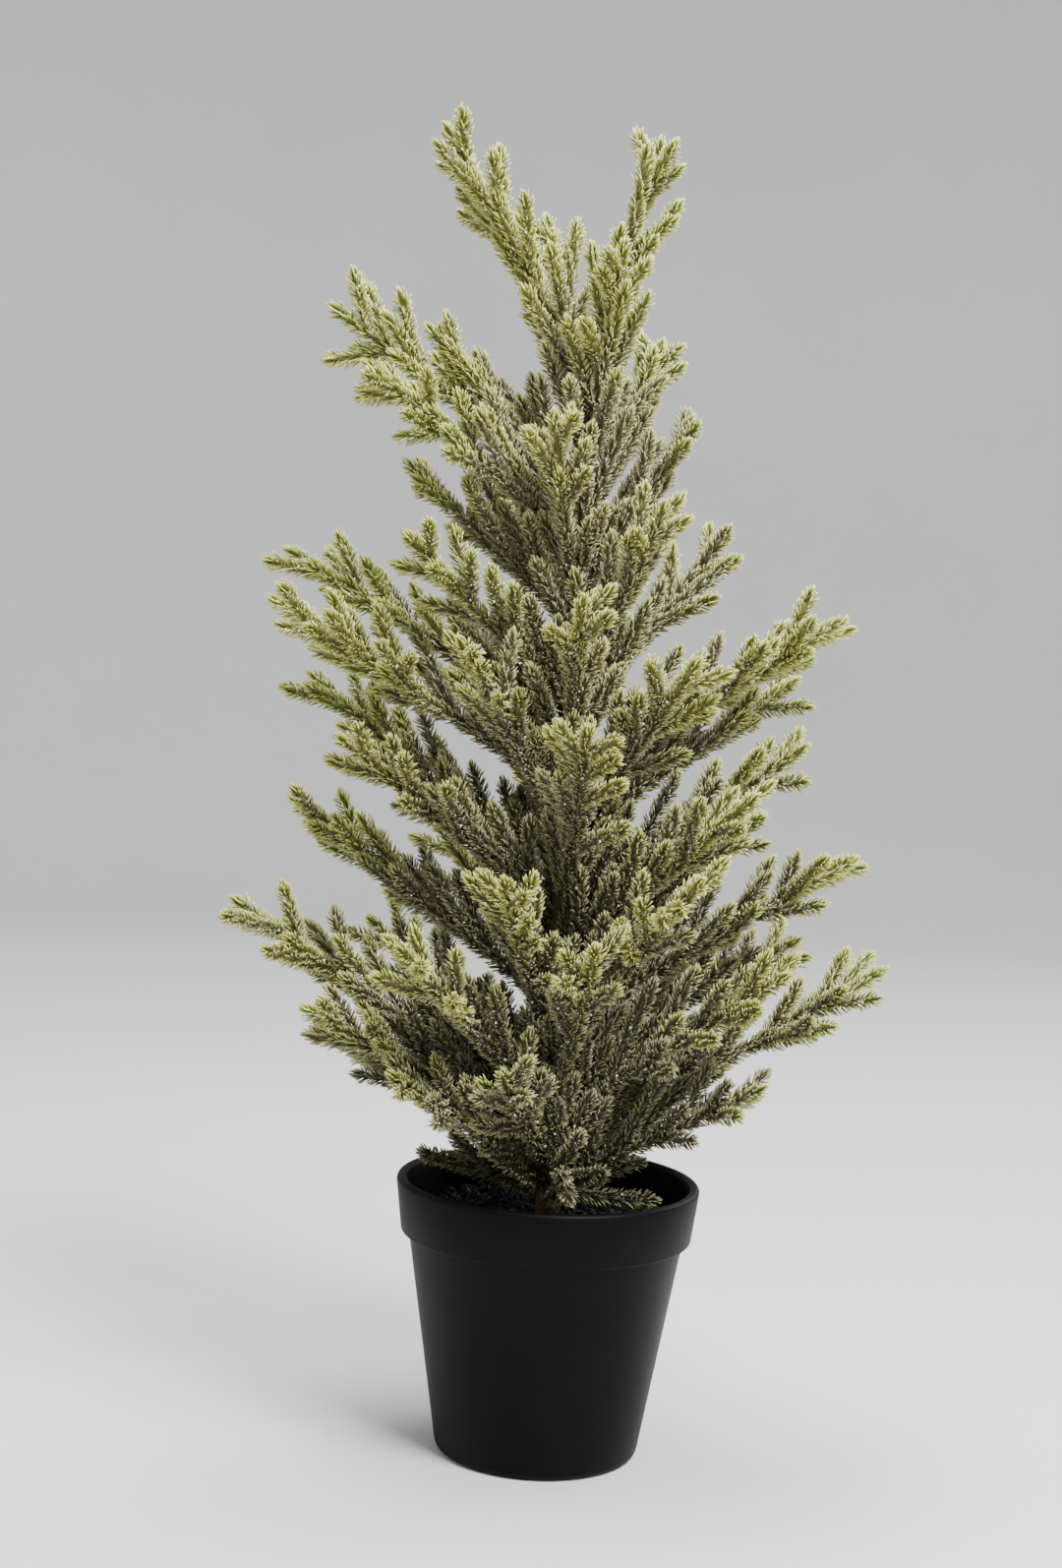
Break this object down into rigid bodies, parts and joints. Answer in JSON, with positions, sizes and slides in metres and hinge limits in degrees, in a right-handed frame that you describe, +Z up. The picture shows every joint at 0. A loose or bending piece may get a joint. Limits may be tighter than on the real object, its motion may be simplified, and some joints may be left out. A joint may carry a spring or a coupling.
{
  "type": "artificial tabletop tree",
  "caption": "Small artificial evergreen in a tapered black pot: wire-cored needle branches bend up and down at their roots on a taped steel trunk.",
  "frame": {"origin": "centre of the pot's flat underside, where the tree stands", "axes": "+Z up along the trunk, +X to the tree's right and -Y to its front, as it is seen from the front"},
  "size_m": [0.2962, 0.2101, 0.597],
  "materials": {
    "needles": "matte",
    "pot_plastic": "satin",
    "soil": "matte",
    "cement": "matte",
    "steel": "satin",
    "tape": "matte"
  },
  "bodies": {
    "pot_and_trunk": {"pot": "pot_plastic", "cement_ballast": "cement", "soil_cover": "soil", "trunk_rod": "steel", "trunk_tape": "tape"},
    "branch_01_left": {"branch_01_left": "needles"},
    "branch_02_back": {"branch_02_back": "needles"},
    "branch_03_right": {"branch_03_right": "needles"},
    "branch_04_back": {"branch_04_back": "needles"},
    "branch_05_left": {"branch_05_left": "needles"},
    "branch_06_right": {"branch_06_right": "needles"},
    "branch_07_left": {"branch_07_left": "needles"},
    "branch_08_front": {"branch_08_front": "needles"},
    "branch_09_front": {"branch_09_front": "needles"},
    "branch_10_right": {"branch_10_right": "needles"},
    "branch_11_left": {"branch_11_left": "needles"},
    "branch_12_back": {"branch_12_back": "needles"},
    "branch_13_left": {"branch_13_left": "needles"},
    "branch_14_left": {"branch_14_left": "needles"},
    "branch_15_right": {"branch_15_right": "needles"},
    "branch_16_front": {"branch_16_front": "needles"},
    "branch_17_front": {"branch_17_front": "needles"},
    "branch_18_right": {"branch_18_right": "needles"},
    "branch_19_front": {"branch_19_front": "needles"},
    "branch_20_front": {"branch_20_front": "needles"},
    "branch_21_back": {"branch_21_back": "needles"},
    "branch_22_right": {"branch_22_right": "needles"},
    "branch_23_back": {"branch_23_back": "needles"},
    "branch_24_left": {"branch_24_left": "needles"},
    "branch_25_right": {"branch_25_right": "needles"},
    "branch_26_right": {"branch_26_right": "needles"},
    "branch_27_back": {"branch_27_back": "needles"},
    "branch_28_left": {"branch_28_left": "needles"},
    "branch_29_right": {"branch_29_right": "needles"},
    "branch_30_front": {"branch_30_front": "needles"},
    "branch_31_left": {"branch_31_left": "needles"},
    "branch_32_right": {"branch_32_right": "needles"},
    "branch_33_front": {"branch_33_front": "needles"},
    "branch_34_back": {"branch_34_back": "needles"},
    "branch_35_front": {"branch_35_front": "needles"},
    "branch_36_left": {"branch_36_left": "needles"},
    "branch_37_right": {"branch_37_right": "needles"},
    "branch_38_front": {"branch_38_front": "needles"},
    "branch_39_back": {"branch_39_back": "needles"},
    "branch_40_left": {"branch_40_left": "needles"},
    "branch_41_right": {"branch_41_right": "needles"},
    "branch_42_left": {"branch_42_left": "needles"},
    "branch_43_front": {"branch_43_front": "needles"},
    "branch_44_back": {"branch_44_back": "needles"},
    "branch_45_left": {"branch_45_left": "needles"},
    "branch_46_front": {"branch_46_front": "needles"},
    "branch_47_right": {"branch_47_right": "needles"},
    "branch_48_left": {"branch_48_left": "needles"},
    "branch_49_right": {"branch_49_right": "needles"},
    "branch_50_left": {"branch_50_left": "needles"},
    "leader_left": {"leader_left": "needles"},
    "leader_right": {"leader_right": "needles"},
    "leader_back": {"leader_back": "needles"},
    "leader_front": {"leader_front": "needles"}
  },
  "joints": [
    {"name": "branch_01_left_bend", "type": "hinge", "parent": "pot_and_trunk", "child": "branch_01_left", "pos_m": [-0.0076, -0.00067, 0.122], "axis": [-0.0872, 0.9962, 0], "range_deg": [-10, 15]},
    {"name": "branch_02_back_bend", "type": "hinge", "parent": "pot_and_trunk", "child": "branch_02_back", "pos_m": [0.00197, 0.00737, 0.123], "axis": [0.9659, -0.2588, 0], "range_deg": [-10, 15]},
    {"name": "branch_03_right_bend", "type": "hinge", "parent": "pot_and_trunk", "child": "branch_03_right", "pos_m": [0.00729, -0.00223, 0.124], "axis": [-0.2924, -0.9563, 0], "range_deg": [-10, 15]},
    {"name": "branch_04_back_bend", "type": "hinge", "parent": "pot_and_trunk", "child": "branch_04_back", "pos_m": [-0.00469, 0.006, 0.125], "axis": [0.788, 0.6157, 0], "range_deg": [-10, 15]},
    {"name": "branch_05_left_bend", "type": "hinge", "parent": "pot_and_trunk", "child": "branch_05_left", "pos_m": [-0.00566, -0.00509, 0.127], "axis": [-0.6691, 0.7431, 0], "range_deg": [-10, 15]},
    {"name": "branch_06_right_bend", "type": "hinge", "parent": "pot_and_trunk", "child": "branch_06_right", "pos_m": [0.00689, 0.00321, 0.128], "axis": [0.4226, -0.9063, 0], "range_deg": [-10, 15]},
    {"name": "branch_07_left_bend", "type": "hinge", "parent": "pot_and_trunk", "child": "branch_07_left", "pos_m": [-0.00729, 0.00209, 0.132], "axis": [0.2756, 0.9613, 0], "range_deg": [-10, 15]},
    {"name": "branch_08_front_bend", "type": "hinge", "parent": "pot_and_trunk", "child": "branch_08_front", "pos_m": [-0.00196, -0.00733, 0.132], "axis": [-0.9659, 0.2588, 0], "range_deg": [-10, 15]},
    {"name": "branch_09_front_bend", "type": "hinge", "parent": "pot_and_trunk", "child": "branch_09_front", "pos_m": [0.0017, -0.00736, 0.138], "axis": [-0.9744, -0.225, 0], "range_deg": [-10, 15]},
    {"name": "branch_10_right_bend", "type": "hinge", "parent": "pot_and_trunk", "child": "branch_10_right", "pos_m": [0.00754, 0.0004, 0.14], "axis": [0.0523, -0.9986, 0], "range_deg": [-10, 15]},
    {"name": "branch_11_left_bend", "type": "hinge", "parent": "pot_and_trunk", "child": "branch_11_left", "pos_m": [-0.00694, -0.00295, 0.142], "axis": [-0.3907, 0.9205, 0], "range_deg": [-10, 15]},
    {"name": "branch_12_back_bend", "type": "hinge", "parent": "pot_and_trunk", "child": "branch_12_back", "pos_m": [0.00462, 0.00592, 0.148], "axis": [0.788, -0.6157, 0], "range_deg": [-10, 15]},
    {"name": "branch_13_left_bend", "type": "hinge", "parent": "pot_and_trunk", "child": "branch_13_left", "pos_m": [-0.00742, -0.00104, 0.152], "axis": [-0.1392, 0.9903, 0], "range_deg": [-10, 15]},
    {"name": "branch_14_left_bend", "type": "hinge", "parent": "pot_and_trunk", "child": "branch_14_left", "pos_m": [-0.00612, 0.00429, 0.156], "axis": [0.5736, 0.8192, 0], "range_deg": [-10, 15]},
    {"name": "branch_15_right_bend", "type": "hinge", "parent": "pot_and_trunk", "child": "branch_15_right", "pos_m": [0.00647, -0.00374, 0.156], "axis": [-0.5, -0.866, 0], "range_deg": [-10, 15]},
    {"name": "branch_16_front_bend", "type": "hinge", "parent": "pot_and_trunk", "child": "branch_16_front", "pos_m": [-0.00439, -0.00604, 0.158], "axis": [-0.809, 0.5878, 0], "range_deg": [-10, 15]},
    {"name": "branch_17_front_bend", "type": "hinge", "parent": "pot_and_trunk", "child": "branch_17_front", "pos_m": [0.00129, -0.00733, 0.162], "axis": [-0.9848, -0.1736, 0], "range_deg": [-10, 15]},
    {"name": "branch_18_right_bend", "type": "hinge", "parent": "pot_and_trunk", "child": "branch_18_right", "pos_m": [0.00717, 0.00179, 0.174], "axis": [0.2419, -0.9703, 0], "range_deg": [-10, 15]},
    {"name": "branch_19_front_bend", "type": "hinge", "parent": "pot_and_trunk", "child": "branch_19_front", "pos_m": [-0.00202, -0.00704, 0.188], "axis": [-0.9613, 0.2756, 0], "range_deg": [-10, 15]},
    {"name": "branch_20_front_bend", "type": "hinge", "parent": "pot_and_trunk", "child": "branch_20_front", "pos_m": [0.00387, -0.0062, 0.19], "axis": [-0.848, -0.5299, 0], "range_deg": [-10, 15]},
    {"name": "branch_21_back_bend", "type": "hinge", "parent": "pot_and_trunk", "child": "branch_21_back", "pos_m": [0.00189, 0.00706, 0.19], "axis": [0.9659, -0.2588, 0], "range_deg": [-10, 15]},
    {"name": "branch_22_right_bend", "type": "hinge", "parent": "pot_and_trunk", "child": "branch_22_right", "pos_m": [0.00724, -0.00076, 0.196], "axis": [-0.1045, -0.9945, 0], "range_deg": [-10, 15]},
    {"name": "branch_23_back_bend", "type": "hinge", "parent": "pot_and_trunk", "child": "branch_23_back", "pos_m": [-0.00407, 0.00603, 0.198], "axis": [0.829, 0.5592, 0], "range_deg": [-10, 15]},
    {"name": "branch_24_left_bend", "type": "hinge", "parent": "pot_and_trunk", "child": "branch_24_left", "pos_m": [-0.00723, 0.00025, 0.206], "axis": [0.0349, 0.9994, 0], "range_deg": [-10, 15]},
    {"name": "branch_25_right_bend", "type": "hinge", "parent": "pot_and_trunk", "child": "branch_25_right", "pos_m": [0.00621, 0.00358, 0.22], "axis": [0.5, -0.866, 0], "range_deg": [-10, 15]},
    {"name": "branch_26_right_bend", "type": "hinge", "parent": "pot_and_trunk", "child": "branch_26_right", "pos_m": [0.00562, -0.00439, 0.228], "axis": [-0.6157, -0.788, 0], "range_deg": [-10, 15]},
    {"name": "branch_27_back_bend", "type": "hinge", "parent": "pot_and_trunk", "child": "branch_27_back", "pos_m": [-0.00086, 0.00703, 0.238], "axis": [0.9925, 0.1219, 0], "range_deg": [-10, 15]},
    {"name": "branch_28_left_bend", "type": "hinge", "parent": "pot_and_trunk", "child": "branch_28_left", "pos_m": [-0.00648, -0.00275, 0.246], "axis": [-0.3907, 0.9205, 0], "range_deg": [-10, 15]},
    {"name": "branch_29_right_bend", "type": "hinge", "parent": "pot_and_trunk", "child": "branch_29_right", "pos_m": [0.00688, -0.00146, 0.248], "axis": [-0.2079, -0.9781, 0], "range_deg": [-10, 15]},
    {"name": "branch_30_front_bend", "type": "hinge", "parent": "pot_and_trunk", "child": "branch_30_front", "pos_m": [0.00061, -0.007, 0.25], "axis": [-0.9962, -0.0872, 0], "range_deg": [-10, 15]},
    {"name": "branch_31_left_bend", "type": "hinge", "parent": "pot_and_trunk", "child": "branch_31_left", "pos_m": [-0.00689, 0.00121, 0.256], "axis": [0.1736, 0.9848, 0], "range_deg": [-10, 15]},
    {"name": "branch_32_right_bend", "type": "hinge", "parent": "pot_and_trunk", "child": "branch_32_right", "pos_m": [0.00678, 0.0012, 0.28], "axis": [0.1736, -0.9848, 0], "range_deg": [-10, 15]},
    {"name": "branch_33_front_bend", "type": "hinge", "parent": "pot_and_trunk", "child": "branch_33_front", "pos_m": [0.00423, -0.00541, 0.284], "axis": [-0.788, -0.6157, 0], "range_deg": [-10, 15]},
    {"name": "branch_34_back_bend", "type": "hinge", "parent": "pot_and_trunk", "child": "branch_34_back", "pos_m": [-0.00422, 0.0054, 0.286], "axis": [0.788, 0.6157, 0], "range_deg": [-10, 15]},
    {"name": "branch_35_front_bend", "type": "hinge", "parent": "pot_and_trunk", "child": "branch_35_front", "pos_m": [-0.00421, -0.00539, 0.288], "axis": [-0.788, 0.6157, 0], "range_deg": [-10, 15]},
    {"name": "branch_36_left_bend", "type": "hinge", "parent": "pot_and_trunk", "child": "branch_36_left", "pos_m": [-0.0066, -0.00153, 0.302], "axis": [-0.225, 0.9744, 0], "range_deg": [-10, 15]},
    {"name": "branch_37_right_bend", "type": "hinge", "parent": "pot_and_trunk", "child": "branch_37_right", "pos_m": [0.00666, -0.00117, 0.306], "axis": [-0.1736, -0.9848, 0], "range_deg": [-10, 15]},
    {"name": "branch_38_front_bend", "type": "hinge", "parent": "pot_and_trunk", "child": "branch_38_front", "pos_m": [0.00024, -0.00675, 0.306], "axis": [-0.9994, -0.0349, 0], "range_deg": [-10, 15]},
    {"name": "branch_39_back_bend", "type": "hinge", "parent": "pot_and_trunk", "child": "branch_39_back", "pos_m": [0.00116, 0.0066, 0.318], "axis": [0.9848, -0.1736, 0], "range_deg": [-10, 15]},
    {"name": "branch_40_left_bend", "type": "hinge", "parent": "pot_and_trunk", "child": "branch_40_left", "pos_m": [-0.00658, 0.00093, 0.33], "axis": [0.1392, 0.9903, 0], "range_deg": [-10, 15]},
    {"name": "branch_41_right_bend", "type": "hinge", "parent": "pot_and_trunk", "child": "branch_41_right", "pos_m": [0.00613, 0.00248, 0.338], "axis": [0.3746, -0.9272, 0], "range_deg": [-10, 15]},
    {"name": "branch_42_left_bend", "type": "hinge", "parent": "pot_and_trunk", "child": "branch_42_left", "pos_m": [-0.00552, -0.00358, 0.344], "axis": [-0.5446, 0.8387, 0], "range_deg": [-10, 15]},
    {"name": "branch_43_front_bend", "type": "hinge", "parent": "pot_and_trunk", "child": "branch_43_front", "pos_m": [0.00376, -0.00537, 0.35], "axis": [-0.8192, -0.5736, 0], "range_deg": [-10, 15]},
    {"name": "branch_44_back_bend", "type": "hinge", "parent": "pot_and_trunk", "child": "branch_44_back", "pos_m": [-0.00274, 0.00587, 0.366], "axis": [0.9063, 0.4226, 0], "range_deg": [-10, 15]},
    {"name": "branch_45_left_bend", "type": "hinge", "parent": "pot_and_trunk", "child": "branch_45_left", "pos_m": [-0.00635, -0.00089, 0.38], "axis": [-0.1392, 0.9903, 0], "range_deg": [-10, 15]},
    {"name": "branch_46_front_bend", "type": "hinge", "parent": "pot_and_trunk", "child": "branch_46_front", "pos_m": [-0.00165, -0.00616, 0.386], "axis": [-0.9659, 0.2588, 0], "range_deg": [-10, 15]},
    {"name": "branch_47_right_bend", "type": "hinge", "parent": "pot_and_trunk", "child": "branch_47_right", "pos_m": [0.00633, -0.00055, 0.392], "axis": [-0.0872, -0.9962, 0], "range_deg": [-10, 15]},
    {"name": "branch_48_left_bend", "type": "hinge", "parent": "pot_and_trunk", "child": "branch_48_left", "pos_m": [-0.00567, -0.00264, 0.412], "axis": [-0.4226, 0.9063, 0], "range_deg": [-10, 15]},
    {"name": "branch_49_right_bend", "type": "hinge", "parent": "pot_and_trunk", "child": "branch_49_right", "pos_m": [0.00474, 0.00398, 0.426], "axis": [0.6428, -0.766, 0], "range_deg": [-10, 15]},
    {"name": "branch_50_left_bend", "type": "hinge", "parent": "pot_and_trunk", "child": "branch_50_left", "pos_m": [-0.00614, -0.00011, 0.436], "axis": [-0.0175, 0.9998, 0], "range_deg": [-10, 15]},
    {"name": "leader_left_bend", "type": "hinge", "parent": "pot_and_trunk", "child": "leader_left", "pos_m": [-0.00575, -0.00122, 0.492], "axis": [-0.2079, 0.9781, 0], "range_deg": [-10, 15]},
    {"name": "leader_right_bend", "type": "hinge", "parent": "pot_and_trunk", "child": "leader_right", "pos_m": [0.0058, -0.00041, 0.505], "axis": [-0.0698, -0.9976, 0], "range_deg": [-10, 15]},
    {"name": "leader_back_bend", "type": "hinge", "parent": "pot_and_trunk", "child": "leader_back", "pos_m": [-0.00382, 0.00455, 0.478], "axis": [0.766, 0.6428, 0], "range_deg": [-10, 15]},
    {"name": "leader_front_bend", "type": "hinge", "parent": "pot_and_trunk", "child": "leader_front", "pos_m": [0.00205, -0.00565, 0.464], "axis": [-0.9397, -0.342, 0], "range_deg": [-10, 15]}
  ]
}
